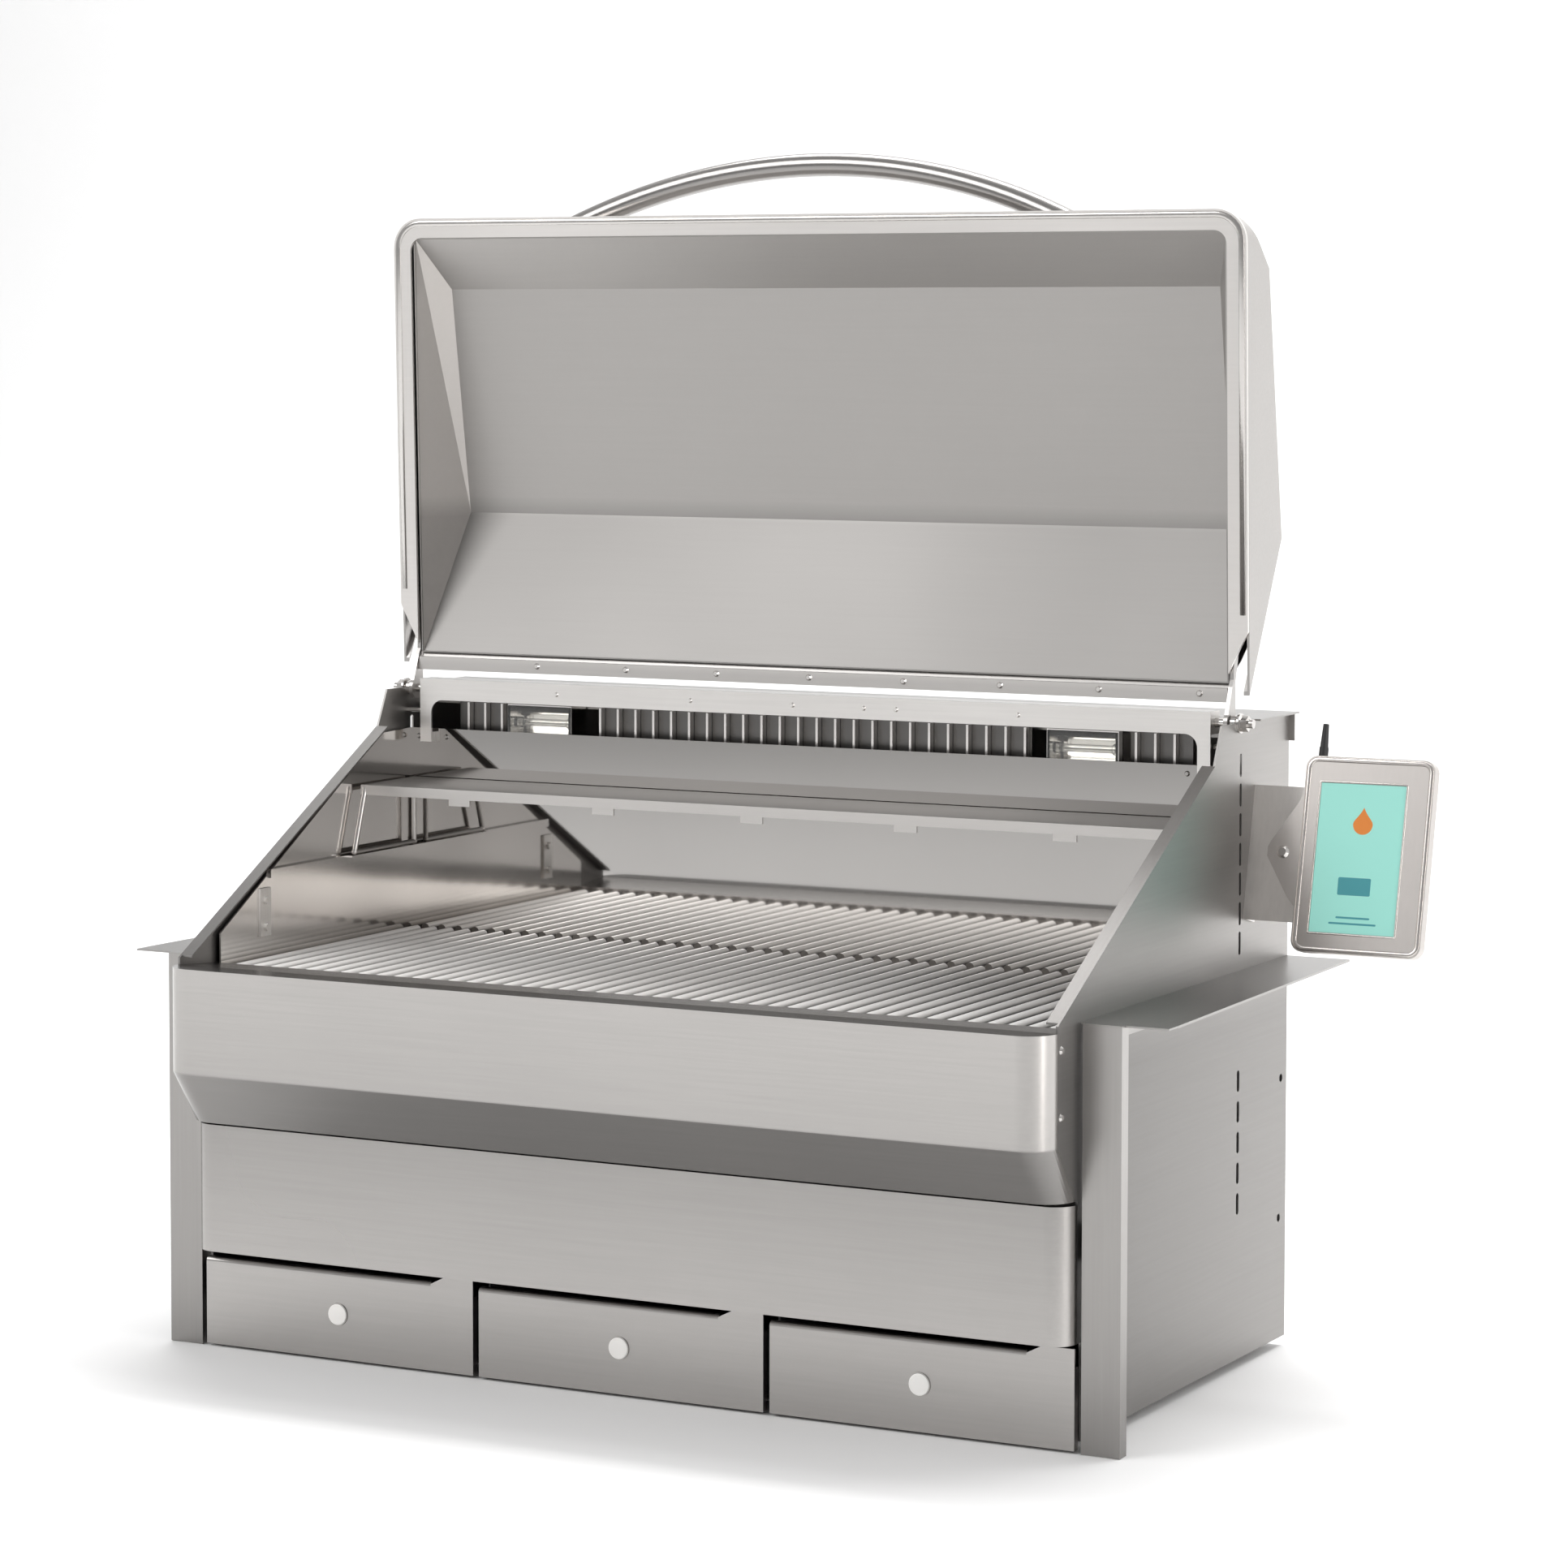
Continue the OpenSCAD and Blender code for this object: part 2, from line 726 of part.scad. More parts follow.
module controller_bezel() {
  color("#dedad6") at_head()
    difference() {
      along_y(0, bezel_t) head_face();
      bar_y(pivot_x, -1, 3, 0, 6.1);
      block([window_lo[0], -1, window_lo[1]], [window_hi[0], 3, window_hi[1]]);
    }
}

module controller_screen() {
  color("#9fdcd6") at_head()
    block([window_lo[0] + 0.2, 0.6, window_lo[1] + 0.2],
      [window_hi[0] - 0.2, bezel_t, window_hi[1] - 0.2]);
}

module antenna() {
  color(black) at_head()
    translate([head_x + 12, tray_t - 4.6, head_h / 2]) {
      cylinder(h = 8, d = 8);
      translate([0, 0, 8]) cylinder(h = 20, d1 = 7, d2 = 5);
    }
}

// Hood --------------------------------------------------------------------

// Hood side outline, grown inwards by t behind the mouth plane
function hood_outline(t) = [
  shell_top + [-0.1 * t, -1.4 * t], hood_crown + [-0.75 * t, -0.75 * t],
  hood_back + [-1.04 * t, 0.2 * t], shell_bottom + [-0.2 * t, 2.1 * t]];

module hood_front_outline(half_w, z0, z1, r) {
  translate([-half_w, z0]) square([2 * half_w, z1 - r - z0]);
  translate([-half_w + r, z0]) square([2 * (half_w - r), z1 - z0]);
  for (s = [-1, 1])
    translate([s * (half_w - r), z1 - r]) circle(r = r);
}

module hood_body(t, end_t) {
  intersection() {
    along_x(-hood_w / 2 + end_t, hood_w / 2 - end_t)
      polygon(concat(hood_outline(t),
        t > 0 ? [shell_bottom + [-30, 2.1 * t], shell_top + [-30, -1.4 * t]] : []));
    along_y(0, 300) hood_front_outline(hood_w / 2 - end_t, 500, rim_top[1] - t, mouth_r - t);
  }
}

// Clearance at each lower corner, where the raised part of the side panel
// stands when the hood is down
module hood_notch(outer_x, drop) {
  inner_x = arm_x - 0.9;
  translate([0, -drop])
    polygon([[outer_x, 638], [inner_x + 5.5, 608], [inner_x, 596], [inner_x, 560],
      [outer_x, 560]]);
}

module hood_shell() {
  color(steel)
    difference() {
      hood_body(0, 0);
      hood_body(1.6, 2.2);
      for (s = [-1, 1]) on_side(s)
        along_y(hinge_y - 60, hinge_y + 120) hood_notch(side_x + 1.5, 0);
    }
}

module rim_frame() {
  translate([0, rim_bottom[0], rim_bottom[1]]) rotate([rim_lean, 0, 0]) children();
}

module hood_rim() {
  rim_h = norm(rim_top - rim_bottom);
  color("#ecebe8")
    rim_frame()
      translate([0, rim_t, 0]) rotate([90, 0, 0]) linear_extrude(rim_t)
        difference() {
          hood_front_outline(hood_w / 2, 0, rim_h, mouth_r);
          hood_front_outline(hood_w / 2 - rim_w, 12, rim_h - rim_w, 12);
          for (s = [-1, 1]) mirror([s < 0 ? 1 : 0, 0]) hood_notch(side_x + 9, rim_bottom[1]);
        }
}

// Liner body: wide at the mouth, narrower and shallower inside
module liner_body(t) {
  z0 = rim_bottom[1] + 16 + t;
  z1 = rim_top[1] - rim_w - t;
  mouth = hood_w / 2 - rim_w - 1.5 - t;
  deep = hood_w / 2 - 38 - t;
  hull() {
    along_x(-mouth, mouth)
      polygon([[rim_bottom[0] + 3.6 - t * 3, z0], [rim_bottom[0] + 5.2, z0],
        [rim_top[0] + 5.8, z1], [rim_top[0] + 4 - t * 3, z1]]);
    along_x(-deep, deep)
      polygon([hood_back + [-14 - t, 6 + t], hood_crown + [-13 - t, -14 - t],
        hood_crown + [-16 - t, -12 - t]]);
  }
}

module hood_liner() {
  color("#a8a4a0")
    difference() {
      liner_body(0);
      liner_body(1.2);
    }
}

module hood_arms() {
  x0 = arm_x;
  color("#e4e2de")
    for (s = [-1, 1]) on_side(s)
      difference() {
        union() {
          along_x(x0, x0 + 3.6)
            polygon([[hinge_y + 5.4, 650], [hinge_y + 26, 650], [hinge_y + 9.4, 592],
              [hinge_y + 9.4, hinge_z], [hinge_y - 9.4, hinge_z], [hinge_y + 2, 587],
              [hinge_y + 5.4, 593]]);
          bar_x(x0, x0 + 3.6, hinge_y, hinge_z, 19.6);
        }
        bar_x(x0 - 2, x0 + 6, hinge_y, hinge_z, 8.1);
      }
}

// half the distance between the handle's feet, and the lean of its arch
handle_span = 280;
handle_lean = 15;
foot_d = 32;
handle_r = (handle_span * handle_span + handle_rise * handle_rise) / (2 * handle_rise);
panel_mid = (rim_top + hood_crown) / 2;
module hood_handle() {
  half_angle = asin(handle_span / handle_r) + 1.5;
  panel_lean = 90 - atan2(hood_crown[0] - rim_top[0], rim_top[1] - hood_crown[1]);
  color("#cfccc8")
    translate([0, panel_mid[0], panel_mid[1]])
      difference() {
        union() {
          rotate([-handle_lean, 0, 0]) translate([0, 0, handle_rise - handle_r]) rotate([90, 0, 0])
            rotate([0, 0, 90 - half_angle])
              rotate_extrude(angle = 2 * half_angle, $fn = 160) translate([handle_r, 0])
                circle(d = handle_d, $fn = 32);
          rotate([-panel_lean, 0, 0])
            for (s = [-1, 1])
              translate([s * (handle_span - 1), 1, 0.05]) cylinder(h = 7, d = foot_d);
        }
        rotate([-panel_lean, 0, 0]) translate([-400, -40, -30]) cube([800, 80, 30.05]);
      }
}

module hood_screws() {
  color(steel_bright)
    for (i = [0:7])
      rim_frame() screw_y(-278 + 94 * i, 0, 7, 6);
}

// Pieces that lift out ----------------------------------------------------

module grate(i) {
  color("#bdb9b4")
    translate([i * grate_pitch, 0, 0]) {
      for (k = [-7:7])
        bar_y(k * rod_pitch, -196, 100, grate_top_z - rod_d / 2, rod_d, $fn = 20);
      for (y = [-172, -50, 76])
        block([-7 * rod_pitch - 4, y - 2.5, grate_top_z - rod_d - 5],
          [7 * rod_pitch + 4, y + 2.5, grate_top_z - rod_d + 1.2]);
    }
}

module warming_shelf() {
  foot_x = 401.6;
  wire_d = 4.6;
  wire_top = shelf_top_z - 4;
  corners = [[14, wire_top], [-4, 414], [97, 414], [97, wire_top]];
  color("#b5b1ad") {
    difference() {
      block([-405, 12, shelf_top_z - 9], [405, 103, shelf_top_z]);
      block([-406, 13.6, shelf_top_z - 10], [406, 101.4, shelf_top_z - 1.6]);
    }
    // stiffening tabs under the front edge
    for (i = [-2:2])
      block([i * 150 - 11, 13, shelf_top_z - 15], [i * 150 + 11, 14.6, shelf_top_z - 1]);
    // wire feet that stand on the side rails
    for (s = [-1, 1]) on_side(s)
      for (k = [0:3]) {
        a = corners[k];
        b = corners[(k + 1) % 4];
        wire([foot_x, a[0], a[1]], [foot_x, b[0], b[1]], wire_d);
        translate([foot_x, a[0], a[1]]) sphere(d = wire_d + 1, $fn = 20);
      }
  }
}

// Drawers -----------------------------------------------------------------

module drawer_front(i) {
  x0 = i * drawer_pitch - drawer_w / 2;
  x1 = x0 + drawer_w;
  tab = 42;
  lip_r = 4.5;
  badge_z = 41;
  color(steel) {
    // pan with turned-back bottom and side edges
    difference() {
      block([x0, front_y - 1, 2], [x1, front_y + 6, drawer_top_z - 10]);
      block([x0 + 1.5, front_y + 1, 3.5], [x1 - 1.5, front_y + 7, drawer_top_z]);
    }
    // rolled lip, left of the flat tab
    along_x(x0, x1 - tab) {
      translate([front_y - 1, drawer_top_z - 11]) square([2, 7]);
      translate([front_y - 1 + lip_r, drawer_top_z - lip_r]) circle(r = lip_r);
    }
    // raised tab with a slanted corner
    along_y(front_y - 1, front_y + 1)
      polygon([[x1 - tab, drawer_top_z - 11], [x1, drawer_top_z - 11], [x1, drawer_top_z + 5],
        [x1 - tab + 14, drawer_top_z + 5], [x1 - tab, drawer_top_z - 2]]);
    bar_y(i * drawer_pitch, front_y - 2, front_y, badge_z, badge_d);
  }
}

module drawer_tray(i) {
  x0 = i * drawer_pitch - drawer_w / 2 + 6;
  x1 = i * drawer_pitch + drawer_w / 2 - 6;
  color("#9a9692")
    difference() {
      block([x0, front_y + 6, 16], [x1, rear_y - 70, 66]);
      block([x0 + 1.5, front_y + 7.5, 17.5], [x1 - 1.5, rear_y - 71.5, 70]);
    }
}

module drawer_stops() {
  color(steel_dark)
    for (i = [-1:1])
      block([i * drawer_pitch - 30, rear_y - 69, rail_h + 3], [i * drawer_pitch + 30, rear_y - 62, 60]);
}

// Assembly ----------------------------------------------------------------

side_panel(-1);  // side_panel_left
side_panel(1);  // side_panel_right
base_pan();
base_rails();
rear_panel();
rear_top_cover();
trim(-1);  // trim_left
trim(1);  // trim_right
flange(-1);  // flange_left
flange(1);  // flange_right
bullnose();
lower_fascia();
fascia_screws();
drawer_bay();
firebox_side(-1);  // firebox_side_left
firebox_side(1);  // firebox_side_right
firebox_back();
firebox_front();
firebox_floor();
side_rails();
rack_hooks();
hinge_rail();
hinge_bolts();
vent_louvre();
lamp_housings();
lamp_bulbs();
lamp_lenses();
heating_elements();
heat_diffusers();
smoker_box();
smoker_box_lid();
temperature_probe();
fan_housing();
fan_motor();
fan_rotor();
control_box();
power_inlet();
controller_bracket();
controller_pivot();
controller_housing();
controller_bezel();
controller_screen();
antenna();
hood_shell();
hood_liner();
hood_rim();
hood_arms();
hood_handle();
hood_screws();
warming_shelf();
grate(-1);  // grate_left
grate(0);  // grate_centre
grate(1);  // grate_right
drawer_front(-1);  // drawer_left_front
drawer_tray(-1);  // drawer_left_tray
drawer_front(0);  // drawer_centre_front
drawer_tray(0);  // drawer_centre_tray
drawer_front(1);  // drawer_right_front
drawer_tray(1);  // drawer_right_tray
drawer_stops();
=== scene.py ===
import math

import bmesh
import bpy
from mathutils import Matrix, Vector


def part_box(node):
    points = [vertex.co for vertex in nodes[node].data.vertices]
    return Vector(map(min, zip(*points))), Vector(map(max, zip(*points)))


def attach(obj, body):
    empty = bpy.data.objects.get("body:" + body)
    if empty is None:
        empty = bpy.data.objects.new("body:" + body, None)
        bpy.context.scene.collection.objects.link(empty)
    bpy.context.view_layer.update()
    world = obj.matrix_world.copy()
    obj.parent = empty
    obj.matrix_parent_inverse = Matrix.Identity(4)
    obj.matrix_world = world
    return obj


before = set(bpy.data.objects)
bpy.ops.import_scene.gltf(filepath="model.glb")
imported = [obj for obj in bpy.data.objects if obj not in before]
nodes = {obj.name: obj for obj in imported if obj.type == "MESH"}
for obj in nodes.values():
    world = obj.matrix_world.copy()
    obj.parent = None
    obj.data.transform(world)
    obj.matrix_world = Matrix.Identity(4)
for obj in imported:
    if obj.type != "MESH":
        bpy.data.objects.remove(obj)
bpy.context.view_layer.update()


def new_object(name, data):
    """Object that holds the data, linked into the scene."""
    obj = bpy.data.objects.new(name, data)
    bpy.context.scene.collection.objects.link(obj)
    return obj


# Camera ------------------------------------------------------------------

CAMERA_PLACE = (1.873, -3.4845, 0.8866)
CAMERA_YAW = 27.76
CAMERA_PITCH = 3.62
CAMERA_ROLL = -0.07
LENS_MM = 104.65
SENSOR_MM = 36.0
CAMERA_SHIFT_Y = -0.1033
CLIP_END = 50.0


def make_camera():
    """Camera at the photograph's place, in front of the object and to its right."""
    data = bpy.data.cameras.new("camera")
    data.sensor_width = SENSOR_MM
    data.lens = LENS_MM
    data.shift_y = CAMERA_SHIFT_Y
    data.clip_end = CLIP_END
    turn = (Matrix.Rotation(math.radians(CAMERA_YAW), 4, "Z")
            @ Matrix.Rotation(math.radians(90 - CAMERA_PITCH), 4, "X")
            @ Matrix.Rotation(math.radians(-CAMERA_ROLL), 4, "Z"))
    cam = new_object("camera", data)
    cam.matrix_world = Matrix.Translation(CAMERA_PLACE) @ turn
    bpy.context.scene.camera = cam


make_camera()

# Material tools ----------------------------------------------------------

# the colour sockets of a Mix node: its two inputs and its output
MIX_A, MIX_B, MIX_OUT = 6, 7, 2


class Look:
    """A Principled material with short helpers for its node graph."""

    def __init__(self, name, colour, rough, metallic=0.0):
        self.mat = bpy.data.materials.new(name)
        self.mat.use_nodes = True
        self.tree = self.mat.node_tree
        self.bsdf = self.tree.nodes["Principled BSDF"]
        self.bsdf.inputs["Base Color"].default_value = (*colour, 1.0)
        self.bsdf.inputs["Roughness"].default_value = rough
        self.bsdf.inputs["Metallic"].default_value = metallic
        source = self.node("ShaderNodeTexCoord")
        self.coords = source.outputs["Object"]
        self.normal = source.outputs["Normal"]

    def node(self, kind, **values):
        made = self.tree.nodes.new(kind)
        for key, value in values.items():
            setattr(made, key, value)
        return made

    def link(self, source, target):
        self.tree.links.new(source, target)

    def noise(self, scale, stretch=(1, 1, 1), detail=2.0):
        """Noise in object space, in features per metre."""
        place = self.node("ShaderNodeMapping")
        place.inputs["Scale"].default_value = stretch
        self.link(self.coords, place.inputs["Vector"])
        tex = self.node("ShaderNodeTexNoise")
        tex.inputs["Scale"].default_value = scale
        tex.inputs["Detail"].default_value = detail
        self.link(place.outputs["Vector"], tex.inputs["Vector"])
        return tex.outputs["Fac"]

    def ramp(self, source, low, high, colour_low, colour_high):
        """Colour that goes from colour_low at low to colour_high at high."""
        ramp = self.node("ShaderNodeValToRGB")
        ramp.color_ramp.elements[0].position = low
        ramp.color_ramp.elements[1].position = high
        ramp.color_ramp.elements[0].color = (*colour_low, 1.0)
        ramp.color_ramp.elements[1].color = (*colour_high, 1.0)
        self.link(source, ramp.inputs["Fac"])
        return ramp.outputs["Color"]

    def spread(self, source, low, high, from_low=0.3, from_high=0.7):
        """Value that goes from low to high while the source goes over its own range."""
        span = self.node("ShaderNodeMapRange")
        span.inputs["From Min"].default_value = from_low
        span.inputs["From Max"].default_value = from_high
        span.inputs["To Min"].default_value = low
        span.inputs["To Max"].default_value = high
        self.link(source, span.inputs["Value"])
        return span.outputs["Result"]

    def multiply(self, a, b):
        mix = self.node("ShaderNodeMix", data_type="RGBA", blend_type="MULTIPLY")
        mix.inputs["Factor"].default_value = 1.0
        self.link(a, mix.inputs[MIX_A])
        self.link(b, mix.inputs[MIX_B])
        return mix.outputs[MIX_OUT]

    def bump(self, source, strength, distance):
        made = self.node("ShaderNodeBump")
        made.inputs["Strength"].default_value = strength
        made.inputs["Distance"].default_value = distance
        self.link(source, made.inputs["Height"])
        self.link(made.outputs["Normal"], self.bsdf.inputs["Normal"])

    def colour(self, source):
        self.link(source, self.bsdf.inputs["Base Color"])

    def roughness(self, source):
        self.link(source, self.bsdf.inputs["Roughness"])


def shade(colour, factor):
    """The colour made darker or lighter, with no channel over 1."""
    return tuple(min(1.0, c * factor) for c in colour)


# how noise is stretched for lines that run along an axis
GRAIN = {"x": (1, 40, 40), "y": (40, 1, 40), "z": (40, 40, 1)}


def tone_by(look, tone, source, start, end, low, high):
    """Multiplies a tone by a level that goes from low to high along a source."""
    level = look.spread(source, 0.0, 1.0, start, end)
    return look.multiply(tone, look.ramp(level, 0.0, 1.0, (low,) * 3, (high,) * 3))


def faded(look, tone, fades, painted_facing_shade=()):
    """Lets a tone change along the object (fades) and with the way a face looks (facing); this
    paints most of a sheet's shade and light.
    """
    for rows, vector in ((fades, look.coords), (painted_facing_shade, look.normal)):
        if rows:
            split = look.node("ShaderNodeSeparateXYZ")
            look.link(vector, split.inputs["Vector"])
            for axis, start, end, low, high in rows:
                tone = tone_by(look, tone, split.outputs[axis], start, end, low, high)
    return tone


def brushed(name, colour, rough, grain, tint=0.05, line=0.1, mottle=0.05, fades=(), painted_facing_shade=(),
            metal=1.0):
    """Brushed stainless sheet: fine lines along the grain's axis over cloudy tints.

    tint says how far the clouds change the colour, line how strong the lines' bump
    is, and mottle how dark the lines are. fades holds rows of (axis, start, end,
    tone at start, tone at end): the sheet's tone changes slowly along that axis;
    most rows paint the shade and reflection that other parts and the lights give
    polished sheet. facing holds the same rows measured on the direction the face
    looks in; they paint shade on faces by the way they are turned.
    """
    look = Look(name, colour, rough, metal)
    lines = look.noise(9.0, GRAIN[grain])
    clouds = look.noise(2.2)
    base = look.ramp(clouds, 0.1, 0.9, shade(colour, 1 - 2 * tint), shade(colour, 1 + 2 * tint))
    tone = look.multiply(base, look.ramp(lines, 0.25, 0.75, (1 - mottle,) * 3, (1.0,) * 3))
    look.colour(faded(look, tone, fades, painted_facing_shade))
    look.roughness(look.spread(clouds, rough * 0.85, rough * 1.15, 0.1, 0.9))
    look.bump(lines, line, 0.0003)
    return look.mat


def polished(name, colour, rough, wave=0.25, smear=0.06, fades=()):
    """Mirror-like sheet with a soft waviness and cooking smears; fades as for brushed."""
    look = Look(name, colour, rough, 1.0)
    waves = look.noise(4.5, detail=1.0)
    smears = look.noise(5.0, stretch=(1, 1, 0.5), detail=1.0)
    tone = look.ramp(smears, 0.1, 0.9, shade(colour, 1 - smear), shade(colour, 1 + smear))
    look.colour(faded(look, tone, fades))
    look.roughness(look.spread(smears, rough * 0.7, rough * 1.3, 0.1, 0.9))
    look.bump(waves, wave, 0.004)
    return look.mat


def sheet_dull(name, colour, rough):
    """Dull zinc-coated sheet with a spangle."""
    look = Look(name, colour, rough, 0.9)
    cells = look.node("ShaderNodeTexVoronoi")
    cells.inputs["Scale"].default_value = 70.0
    look.link(look.coords, cells.inputs["Vector"])
    spangle = cells.outputs["Distance"]
    look.colour(look.ramp(spangle, 0.0, 0.8, shade(colour, 0.85), shade(colour, 1.12)))
    look.roughness(look.spread(spangle, rough * 0.85, rough * 1.15, 0.0, 0.8))
    look.bump(look.noise(60.0), 0.1, 0.0004)
    return look.mat


def plastic(name, colour, rough, grain=0.15):
    """Moulded plastic or enamel with a fine grain, which is its bump's strength."""
    look = Look(name, colour, rough)
    fine = look.noise(900.0)
    look.colour(look.ramp(look.noise(20.0), 0.3, 0.7, shade(colour, 0.92), shade(colour, 1.06)))
    look.roughness(look.spread(fine, rough * 0.9, rough * 1.1))
    look.bump(fine, grain, 0.0001)
    return look.mat


HEAT_DARK = (0.22, 0.17, 0.15)
HEAT_LIGHT = (0.36, 0.31, 0.3)


def heat_tinted(name, colour, rough):
    """Steel browned by heat, in bands of two tones round its colour."""
    look = Look(name, colour, rough, 1.0)
    bands = look.noise(9.0, detail=3.0)
    look.colour(look.ramp(bands, 0.35, 0.65, HEAT_DARK, HEAT_LIGHT))
    look.roughness(look.spread(bands, rough * 0.8, rough * 1.3))
    look.bump(look.noise(220.0), 0.2, 0.0003)
    return look.mat


def clear_glass(name, colour, rough):
    """Clear glass with a slight ripple."""
    look = Look(name, colour, rough)
    look.bsdf.inputs["Transmission Weight"].default_value = 0.95
    look.bsdf.inputs["IOR"].default_value = 1.46
    ribs = look.noise(30.0)
    look.roughness(look.spread(ribs, rough * 0.7, rough * 1.4))
    look.bump(ribs, 0.25, 0.0008)
    return look.mat


SCREEN_ROUGH = 0.12


def lit(name, colour, strength):
    """Glossy lit surface of the touch screen and what it shows."""
    look = Look(name, colour, SCREEN_ROUGH)
    look.bsdf.inputs["Emission Strength"].default_value = strength
    tone = look.ramp(look.noise(5.0), 0.2, 0.8, shade(colour, 0.96), shade(colour, 1.04))
    look.colour(tone)
    look.link(tone, look.bsdf.inputs["Emission Color"])
    return look.mat


# Looks -------------------------------------------------------------------

WARM = (1.0, 0.966, 0.935)


def steel(level):
    """Steel's slightly warm grey at a level of brightness."""
    return tuple(level * c for c in WARM)


# Rows of (axis, start, end, tone at start, tone at end), as brushed() takes them.
# In rows along the object start and end are in metres; in rows on the way a face
# looks they are the height of the face's direction, which is 0 for an upright face
# and 1 for one that looks up. All these rows but RIM_FADE paint shade and light:
# sheets darker where other parts shade them, lighter where they catch the lights,
# and faces that look up darker. RIM_FADE makes the rim's lowest strip darker.
# painted shade: side panels darker towards the front and below 0.3 m
PANEL_PAINTED_SHADE = (("Y", -0.22, 0.2, 0.62, 0.88), ("Z", 0.3, 0.36, 0.7, 1.0))
# painted shade: lower fascia darker towards its top, under the bullnose's overhang
FRONT_PAINTED_SHADE = (("Z", 0.09, 0.2, 1.06, 0.9),)
# painted shade: bullnose's chamfer below 0.25 m dark, its front lighter towards the top
NOSE_PAINTED_SHADE = (("Z", 0.249, 0.2515, 0.62, 1.0), ("Z", 0.25, 0.345, 0.86, 1.04))
# painted shade: trims darker towards the floor, lighter towards their tops
UPRIGHT_PAINTED_SHADE = (("Z", 0.0, 0.34, 0.8, 1.15),)
# painted shade: hood liner darker below 0.715 m
LINER_PAINTED_SHADE = (("Z", 0.715, 0.735, 0.74, 1.0),)
RIM_FADE = (("Z", 0.58, 0.6, 0.7, 1.0),)
# painted shade: firebox back wall darker above 0.395 m
BACK_WALL_PAINTED_SHADE = (("Z", 0.38, 0.395, 1.0, 0.44),)
# painted light: louvre's front faces lighter as a painted highlight, the parts set back behind
# them in painted shade
LOUVRE_PAINTED_LIGHT = (("Y", 0.1255, 0.1268, 1.5, 0.28),)
# painted shade: upward faces of the flanges, top cover and warming shelf darker
FLAT_TOP_PAINTED_SHADE = (("Z", 0.45, 0.8, 1.0, 0.55),)
# painted shade: side panels' upward faces darker
PANEL_TOP_PAINTED_SHADE = (("Z", 0.3, 0.6, 1.0, 0.6),)
# painted shade: bullnose's upward faces darker
NOSE_TOP_PAINTED_SHADE = (("Z", 0.5, 0.9, 1.0, 0.5),)
# painted shade: upward faces of the hinge rail and rack hooks darker
RAIL_TOP_PAINTED_SHADE = (("Z", 0.5, 0.9, 1.0, 0.45),)
# painted shade: grate rods' sides and undersides darker than their tops
ROD_SIDE_PAINTED_SHADE = (("Z", -0.1, 0.6, 0.3, 1.0),)

